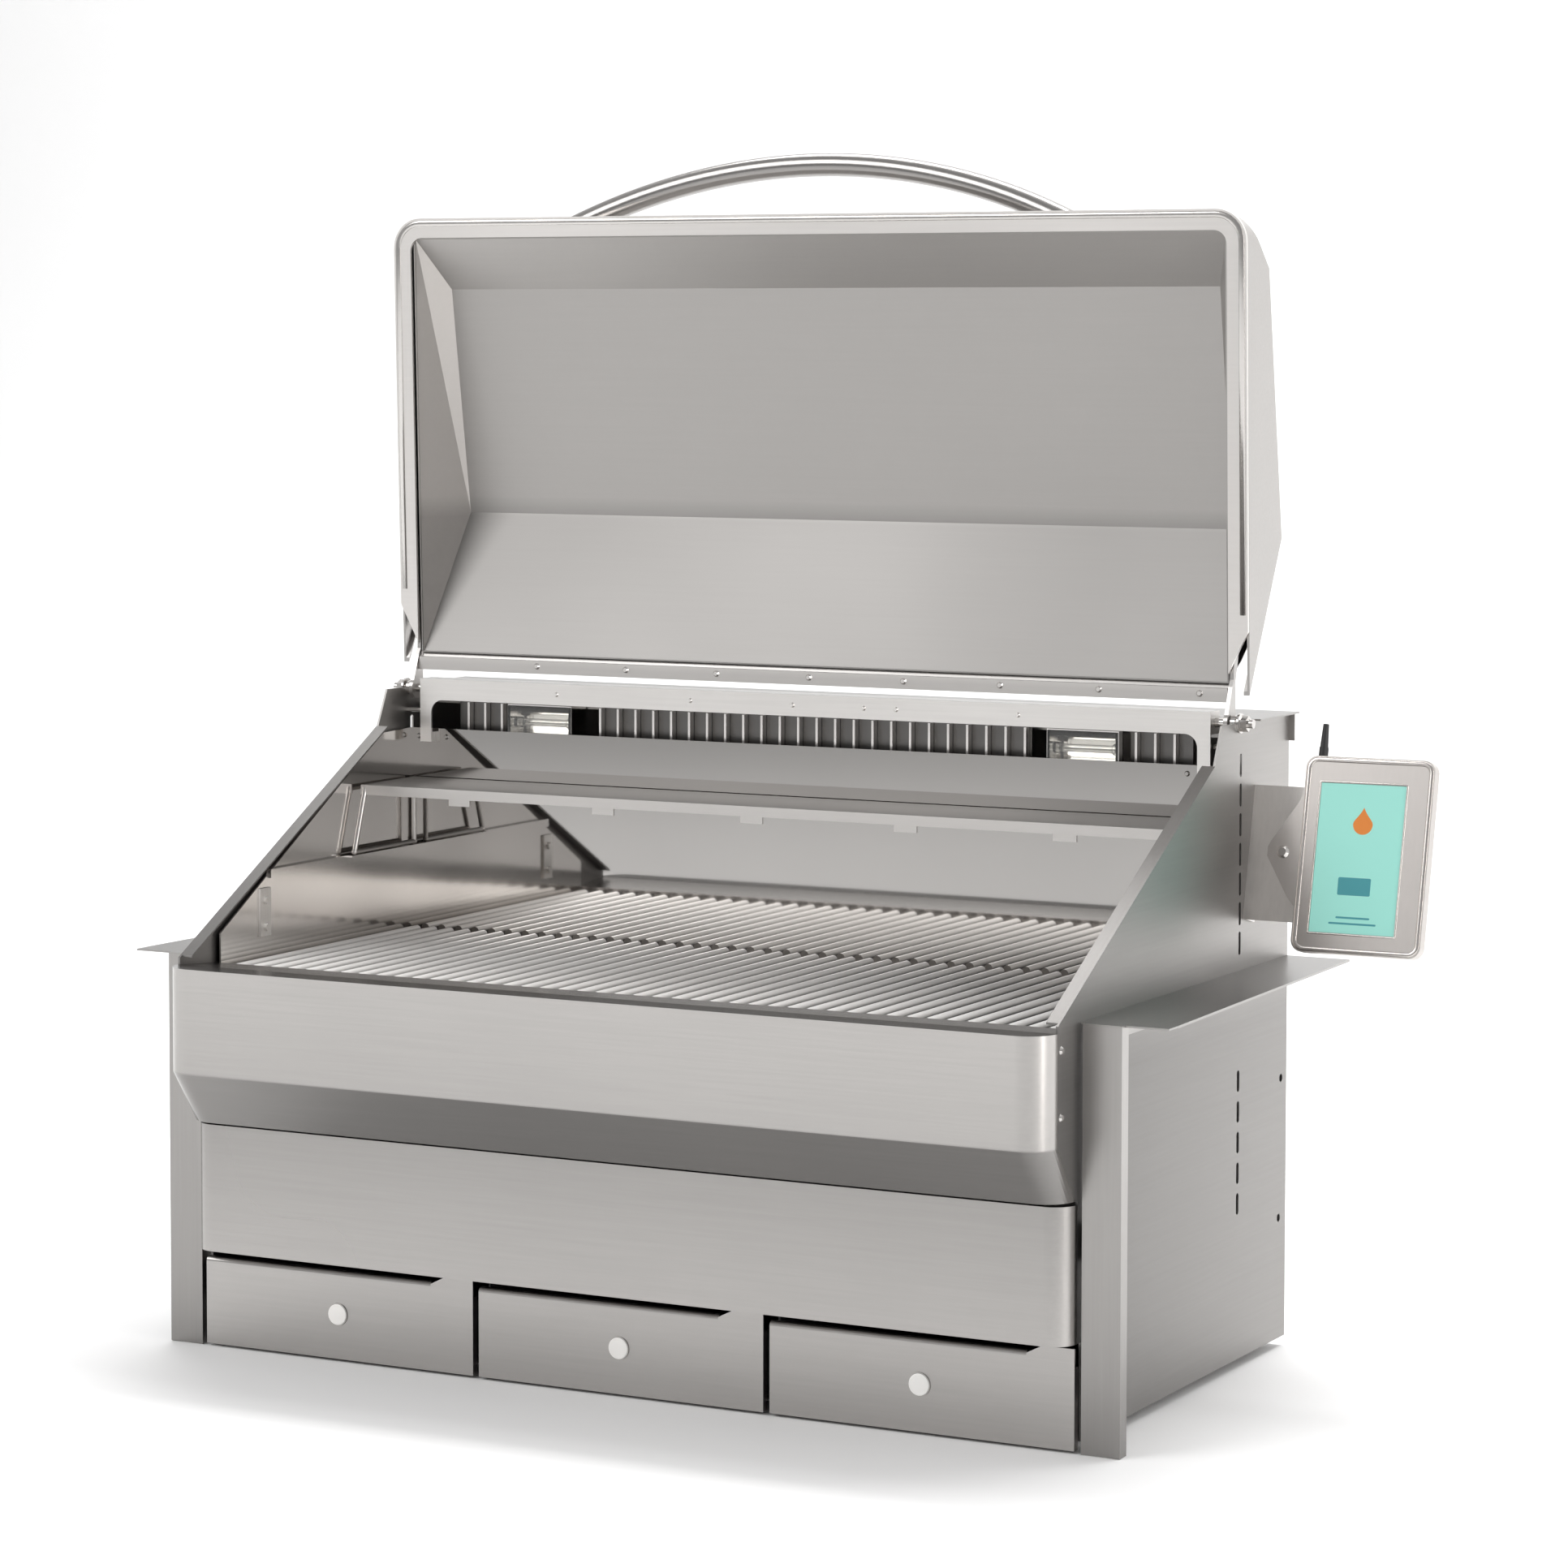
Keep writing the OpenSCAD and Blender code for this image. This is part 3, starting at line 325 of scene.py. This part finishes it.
# each look: the material's name, colour and roughness, then what its maker takes
LOOKS = {
    "panel": brushed("steel_panel", steel(0.52), 0.42, "y", fades=PANEL_PAINTED_SHADE, painted_facing_shade=PANEL_TOP_PAINTED_SHADE),
    "flange": brushed("steel_flange", steel(0.42), 0.36, "y", painted_facing_shade=FLAT_TOP_PAINTED_SHADE),
    "front": brushed("steel_front", steel(0.4), 0.28, "x", fades=FRONT_PAINTED_SHADE),
    "rear": brushed("steel_rear", steel(0.47), 0.34, "x"),
    "drawer": brushed("steel_drawer", steel(0.46), 0.32, "x"),
    "nose": brushed("steel_nose", steel(0.52), 0.22, "x", fades=NOSE_PAINTED_SHADE, painted_facing_shade=NOSE_TOP_PAINTED_SHADE),
    "upright": brushed("steel_upright", steel(0.38), 0.30, "z", fades=UPRIGHT_PAINTED_SHADE),
    # hinge rail and rack hooks: steel near white, a painted highlight
    "bright": brushed("steel_bright", steel(0.92), 0.34, "x", painted_facing_shade=RAIL_TOP_PAINTED_SHADE),
    "arm": brushed("steel_arm", steel(0.52), 0.3, "z"),
    "hood": brushed("steel_hood", steel(0.5), 0.32, "x"),
    "liner": brushed("steel_liner", steel(0.47), 0.5, "x", tint=0.02, line=0.05, mottle=0.02,
                     fades=LINER_PAINTED_SHADE),
    "shelf": brushed("steel_shelf", steel(0.7), 0.34, "x", tint=0.03, line=0.08, mottle=0.03,
                     painted_facing_shade=FLAT_TOP_PAINTED_SHADE),
    "rim": brushed("steel_rim", steel(0.84), 0.4, "x", tint=0.03, line=0.08, mottle=0.03,
                   fades=RIM_FADE),
    "bead": brushed("steel_bead", steel(0.62), 0.22, "x", tint=0.03, line=0.04, mottle=0.03),
    "mirror": polished("steel_back_wall", steel(0.95), 0.035, wave=0.01, smear=0.04,
                       fades=BACK_WALL_PAINTED_SHADE),
    "wall": polished("steel_wall", steel(0.76), 0.11, wave=0.2, smear=0.25),
    "louvre": brushed("steel_louvre", steel(0.62), 0.3, "z", fades=LOUVRE_PAINTED_LIGHT),
    "reflector": polished("lamp_reflector", steel(0.95), 0.12, wave=0.5),
    "tube": brushed("steel_tube", steel(0.34), 0.24, "x"),
    # grate rods: white, half-metallic steel, a painted highlight, with painted shade on their
    # sides
    "rod": brushed("steel_rod", steel(1.0), 0.34, "y", tint=0.03, line=0.05, mottle=0.04,
                   painted_facing_shade=ROD_SIDE_PAINTED_SHADE, metal=0.35),
    "bracket": brushed("steel_bracket", (0.95, 0.9, 0.87), 0.45, "z"),
    "chrome": polished("steel_fastener", steel(0.62), 0.14, wave=0.05, smear=0.08),
    "zinc": sheet_dull("zinc_sheet", (0.32, 0.315, 0.31), 0.5),
    "sooty": sheet_dull("sooty_sheet", (0.045, 0.043, 0.04), 0.6),
    "element": heat_tinted("element_sheath", (0.3, 0.25, 0.23), 0.4),
    "glass": clear_glass("lamp_glass", (0.95, 0.95, 0.93), 0.12),
    "case": brushed("head_case", (0.62, 0.585, 0.56), 0.4, "z", tint=0.04, line=0.08,
                    mottle=0.03),
    "head_bead": brushed("head_bead", (0.72, 0.68, 0.65), 0.24, "z", tint=0.03, line=0.04,
                         mottle=0.02),
    "screen": lit("screen_glass", (0.28, 0.60, 0.53), 0.36),
    "screen_mark": lit("screen_mark", (0.60, 0.20, 0.045), 0.3),
    "screen_button": lit("screen_button", (0.06, 0.25, 0.28), 0.3),
    "badge": polished("badge_steel", steel(1.0), 0.5, wave=0.05, smear=0.05),
    "black": plastic("black_plastic", (0.02, 0.02, 0.021), 0.5),
    "grey": plastic("grey_plastic", (0.16, 0.165, 0.17), 0.5),
    "motor": plastic("motor_enamel", (0.03, 0.032, 0.036), 0.35, grain=0.3),
    "alloy": sheet_dull("rotor_alloy", (0.55, 0.55, 0.56), 0.4),
}

# the CAD nodes that wear each look
NODE_LOOKS = {
    "panel": "side_panel_left side_panel_right",
    "flange": "flange_left flange_right rear_top_cover",
    "upright": "trim_left trim_right",
    "front": "lower_fascia",
    "rear": "rear_panel",
    "drawer": "drawer_left_front drawer_centre_front drawer_right_front",
    "nose": "bullnose",
    "bright": "hinge_rail rack_hooks",
    "arm": "hood_arms",
    "hood": "hood_shell smoker_box_lid",
    "liner": "hood_liner",
    "shelf": "warming_shelf",
    "rim": "hood_rim",
    "mirror": "firebox_back",
    "wall": "firebox_side_left firebox_side_right firebox_front side_rails",
    "louvre": "vent_louvre",
    "reflector": "lamp_housings",
    "tube": "hood_handle",
    "rod": "grate_left grate_centre grate_right",
    "chrome": "hinge_bolts fascia_screws hood_screws controller_pivot temperature_probe",
    "zinc": "base_pan base_rails drawer_bay smoker_box fan_housing drawer_stops drawer_left_tray "
            "drawer_centre_tray drawer_right_tray",
    "sooty": "firebox_floor heat_diffusers",
    "element": "heating_elements",
    "glass": "lamp_bulbs lamp_lenses",
    "case": "controller_housing controller_bezel",
    "bracket": "controller_bracket",
    "screen": "controller_screen",
    "black": "antenna power_inlet",
    "grey": "control_box",
    "motor": "fan_motor",
    "alloy": "fan_rotor",
}

for look_name, members in NODE_LOOKS.items():
    for member in members.split():
        slots = nodes[member].data.materials
        slots.clear()
        slots.append(LOOKS[look_name])

# Outlines ----------------------------------------------------------------


def arc(cx, cz, r, start, turn, steps):
    """(X, Z) points of an arc; start and turn are in degrees, anticlockwise from +X."""
    angles = [math.radians(start + turn * i / steps) for i in range(steps + 1)]
    return [(cx + r * math.cos(a), cz + r * math.sin(a)) for a in angles]


def circle(cx, cz, r, count):
    return arc(cx, cz, r, 0, 360, count)[:-1]


def rounded_box(cx, cz, w, h, r, steps=6):
    """Rectangle with rounded corners round a centre."""
    points = []
    for sx, sz, start in ((1, 1, 0), (-1, 1, 90), (-1, -1, 180), (1, -1, 270)):
        points += arc(cx + sx * (w / 2 - r), cz + sz * (h / 2 - r), r, start, 90, steps)
    return points


def drop(cx, cz, r, count=28, narrowing=0.85, stretch=0.6):
    """Circle whose upper half is drawn out to a point."""
    points = []
    for i in range(count):
        a = 2 * math.pi * i / count
        x, z = r * math.sin(a), -r * math.cos(a)
        pull = max(0.0, z / r) ** 2
        points.append((cx + x * (1 - narrowing * pull), cz + z * (1 + stretch * pull)))
    return points


# Pieces ------------------------------------------------------------------


def mesh_object(name, bm):
    """Turns a bmesh into an object in the scene."""
    data = bpy.data.meshes.new(name)
    bmesh.ops.recalc_face_normals(bm, faces=bm.faces)
    bm.to_mesh(data)
    bm.free()
    return new_object(name, data)


def smooth(obj):
    obj.data.polygons.foreach_set("use_smooth", [True] * len(obj.data.polygons))


def new_piece(name, bm, look, body):
    """Turns a bmesh into a piece that rides on a body of the CAD."""
    obj = mesh_object(name, bm)
    obj.data.materials.append(LOOKS[look])
    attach(obj, body)
    return obj


def slab(outline, thickness, place, chamfer=0.0):
    """Thin plate of an (X, Z) outline whose front is at local y = 0."""
    bm = bmesh.new()
    front = [bm.verts.new((x, 0, z)) for x, z in outline]
    back = [bm.verts.new((x, thickness, z)) for x, z in outline]
    bm.faces.new(front)
    bm.faces.new(back[::-1])
    count = len(outline)
    for i in range(count):
        k = (i + 1) % count
        bm.faces.new((front[i], back[i], back[k], front[k]))
    if chamfer:
        rim = [e for e in bm.edges if e.verts[0] in front and e.verts[1] in front]
        bmesh.ops.bevel(bm, geom=rim, offset=chamfer, segments=2, affect="EDGES", profile=0.5)
    bm.transform(place)
    return bm


BEAD_STEPS = 10


def bead(name, path, width, height, place, look, body, closed=True):
    """Raised oval bead that follows an (X, Z) path on a face at local y = 0."""
    bm = bmesh.new()
    rings = []
    count = len(path)
    for i, (x, z) in enumerate(path):
        if closed:
            before, after = Vector(path[i - 1]), Vector(path[(i + 1) % count])
        else:
            before, after = Vector(path[max(i - 1, 0)]), Vector(path[min(i + 1, count - 1)])
        along = (after - before).normalized()
        across = Vector((-along.y, along.x))
        ring = []
        for k in range(BEAD_STEPS):
            a = math.pi * 2 * k / BEAD_STEPS
            out = across * width / 2 * math.cos(a)
            ring.append(bm.verts.new((x + out.x, -height * math.sin(a), z + out.y)))
        rings.append(ring)
    pairs = list(zip(rings, rings[1:]))
    if closed:
        pairs.append((rings[-1], rings[0]))
    else:
        bm.faces.new(rings[0])
        bm.faces.new(rings[-1][::-1])
    for a, b in pairs:
        for k in range(BEAD_STEPS):
            n = (k + 1) % BEAD_STEPS
            bm.faces.new((a[k], a[n], b[n], b[k]))
    bm.transform(place)
    made = new_piece(name, bm, look, body)
    smooth(made)
    return made


# the control head's face: its middle height, its lean in degrees and its outline;
# the screen and its window have one middle
HEAD_PLACE = (0, 0.112, 0.449)
HEAD_TILT = 13
HEAD_X, HEAD_W, HEAD_H = 0.472, 0.115, 0.167
WINDOW_X = 0.525
HEAD = Matrix.Translation(HEAD_PLACE) @ Matrix.Rotation(-math.radians(HEAD_TILT), 4, "X")


def screen_graphics():
    """Plain shapes on the lit screen: a drop-like mark, a button and two bars."""
    sunk, thickness = 0.0005, 0.0003
    bar_h, bar_r = 0.0016, 0.0007
    place = HEAD @ Matrix.Translation((0, sunk, 0))
    shapes = (
        ("screen_mark", "screen_mark", drop(WINDOW_X + 0.002, 0.027, 0.0088)),
        ("screen_button", "screen_button",
         rounded_box(WINDOW_X - 0.001, -0.026, 0.029, 0.015, 0.0012)),
        ("screen_bar_0", "screen_button", rounded_box(WINDOW_X, -0.0525, 0.03, bar_h, bar_r, 3)),
        ("screen_bar_1", "screen_button", rounded_box(WINDOW_X, -0.0575, 0.042, bar_h, bar_r, 3)),
    )
    for name, look, outline in shapes:
        part = new_piece(name, slab(outline, thickness, place), look, "control_head")


def drawer_badges():
    """Plain round badge with a raised ring on each drawer front."""
    drawer_pitch, badge_z = 0.2794, 0.041
    badge_r, badge_proud, badge_t = 0.009, 0.0003, 0.0006
    ring_r, ring_w, ring_proud = 0.0078, 0.0014, 0.0004
    front_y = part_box("drawer_centre_front")[0].y
    badge_at = Matrix.Translation((0, front_y - badge_proud, 0))
    ring_at = Matrix.Translation((0, front_y, 0))
    for side, x in (("left", -drawer_pitch), ("centre", 0.0), ("right", drawer_pitch)):
        body = f"drawer_{side}"
        disc = slab(circle(x, badge_z, badge_r, 40), badge_t, badge_at, chamfer=badge_proud)
        badge = new_piece(f"badge_{side}", disc, "badge", body)
        ring = circle(x, badge_z, ring_r, 32)
        edge = bead(f"badge_ring_{side}", ring, ring_w, ring_proud, ring_at, "badge", body)


# lower and upper ends of the hood's mouth, on the rim's front face
RIM_BOTTOM = Vector((0, 0.1139, 0.5736))
RIM_TOP = Vector((0, 0.1014, 0.9924))


def rim_bead():
    """Raised bead that runs up, over and down the rim around the hood's mouth."""
    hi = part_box("hood_rim")[1]
    lean = math.atan2(RIM_BOTTOM.y - RIM_TOP.y, RIM_TOP.z - RIM_BOTTOM.z)
    height = (RIM_TOP - RIM_BOTTOM).length
    place = Matrix.Translation(RIM_BOTTOM) @ Matrix.Rotation(lean, 4, "X")
    # distance in from the rim's outer edge, the rim's corner radius, height of the ends
    inset, radius, foot = 0.0045, 0.028, 0.075
    half = hi.x - inset
    corner = radius - inset
    corner_z = height - inset - corner
    path = [(-half, foot),
            *arc(corner - half, corner_z, corner, 180, -90, 8),
            *arc(half - corner, corner_z, corner, 90, -90, 8),
            (half, foot)]
    made = bead("rim_bead", path, 0.0055, 0.0009, place, "bead", "hood", closed=False)


def head_beads():
    """Rolled edge round the control head's face and a finer one round its window."""
    inset = 0.003
    edge = rounded_box(HEAD_X + HEAD_W / 2, 0.0, HEAD_W - 2 * inset, HEAD_H - 2 * inset, 0.008)
    window = rounded_box(WINDOW_X, -0.0025, 0.078, 0.129, 0.001, 3)
    for name, path, width, height in (("head_edge_bead", edge, 0.0042, 0.0008),
                                      ("window_bead", window, 0.0016, 0.0005)):
        made = bead(name, path, width, height, HEAD, "head_bead", "control_head")


def soften(names, width, segments=2):
    """Small rolled edges on sheet parts, so that they catch the light."""
    for name in names.split():
        bevel = nodes[name].modifiers.new("edge", "BEVEL")
        bevel.width = width
        bevel.segments = segments
        bevel.limit_method = "ANGLE"
        bevel.angle_limit = math.radians(40)


screen_graphics()
drawer_badges()
rim_bead()
head_beads()
soften("hood_rim", 0.0012, segments=3)
soften("controller_bezel controller_housing", 0.0009)
soften("trim_left trim_right flange_left flange_right lower_fascia bullnose", 0.0005)

# Stage -------------------------------------------------------------------


def make_sweep():
    """Pale floor that curves up into a backdrop behind the object."""
    half_w, near_y, turn_y, radius, top = 9.0, -7.0, 2.4, 1.6, 5.0
    steps, drop_below = 16, 0.0005
    profile = [(near_y, 0.0), (turn_y, 0.0)]
    for i in range(1, steps + 1):
        a = math.radians(90 * i / steps)
        profile.append((turn_y + radius * math.sin(a), radius - radius * math.cos(a)))
    profile.append((turn_y + radius, top))
    bm = bmesh.new()
    left = [bm.verts.new((-half_w, y, z)) for y, z in profile]
    right = [bm.verts.new((half_w, y, z)) for y, z in profile]
    for i in range(len(profile) - 1):
        bm.faces.new((left[i], right[i], right[i + 1], left[i + 1]))
    obj = mesh_object("sweep", bm)
    smooth(obj)
    look = Look("sweep_paint", (0.93, 0.93, 0.93), 0.7)
    look.bump(look.noise(40.0), 0.02, 0.001)
    obj.data.materials.append(look.mat)
    obj.location.z = -drop_below


def make_world():
    """Soft studio: pale light from all round, dimmer from the camera's side."""
    strength = 0.85
    near = (0.1, (0.42, 0.42, 0.42, 1))
    far = (0.75, (1.0, 1.0, 1.0, 1))
    world = bpy.data.worlds.new("studio")
    bpy.context.scene.world = world
    world.use_nodes = True
    tree = world.node_tree
    background = tree.nodes["Background"]
    coords = tree.nodes.new("ShaderNodeTexCoord")
    split = tree.nodes.new("ShaderNodeSeparateXYZ")
    ramp = tree.nodes.new("ShaderNodeValToRGB")
    span = tree.nodes.new("ShaderNodeMapRange")
    span.inputs["From Min"].default_value = -1.0
    span.inputs["From Max"].default_value = 1.0
    for element, (position, colour) in zip(ramp.color_ramp.elements, (near, far)):
        element.position = position
        element.color = colour
    tree.links.new(coords.outputs["Generated"], split.inputs["Vector"])
    tree.links.new(split.outputs["Y"], span.inputs["Value"])
    tree.links.new(span.outputs["Result"], ramp.inputs["Fac"])
    tree.links.new(ramp.outputs["Color"], background.inputs["Color"])
    background.inputs["Strength"].default_value = strength


def area_light(name, place, target, size, power, colour=(1, 1, 1)):
    """Rectangular light of a size in metres and a power in watts, aimed at a target."""
    data = bpy.data.lights.new(name, "AREA")
    data.shape = "RECTANGLE"
    data.size, data.size_y = size
    data.energy = power
    data.color = colour
    obj = new_object(name, data)
    obj.location = place
    obj.rotation_euler = (Vector(target) - Vector(place)).to_track_quat("-Z", "Y").to_euler()


make_sweep()
make_world()
area_light("key", (-2.4, -3.4, 3.2), (0, 0, 0.4), (2.4, 2.4), 75)
area_light("rim_strip", (3.2, -0.9, 1.2), (0.3, -0.1, 0.4), (0.4, 2.2), 30, (1.0, 0.97, 0.95))
area_light("top", (0, 1.2, 3.8), (0, 0.3, 0.4), (3.4, 1.6), 60)
area_light("backdrop", (0, 1.4, 4.4), (0, 3.8, 0.8), (5.0, 1.0), 160)
bpy.context.scene.view_settings.view_transform = "Standard"
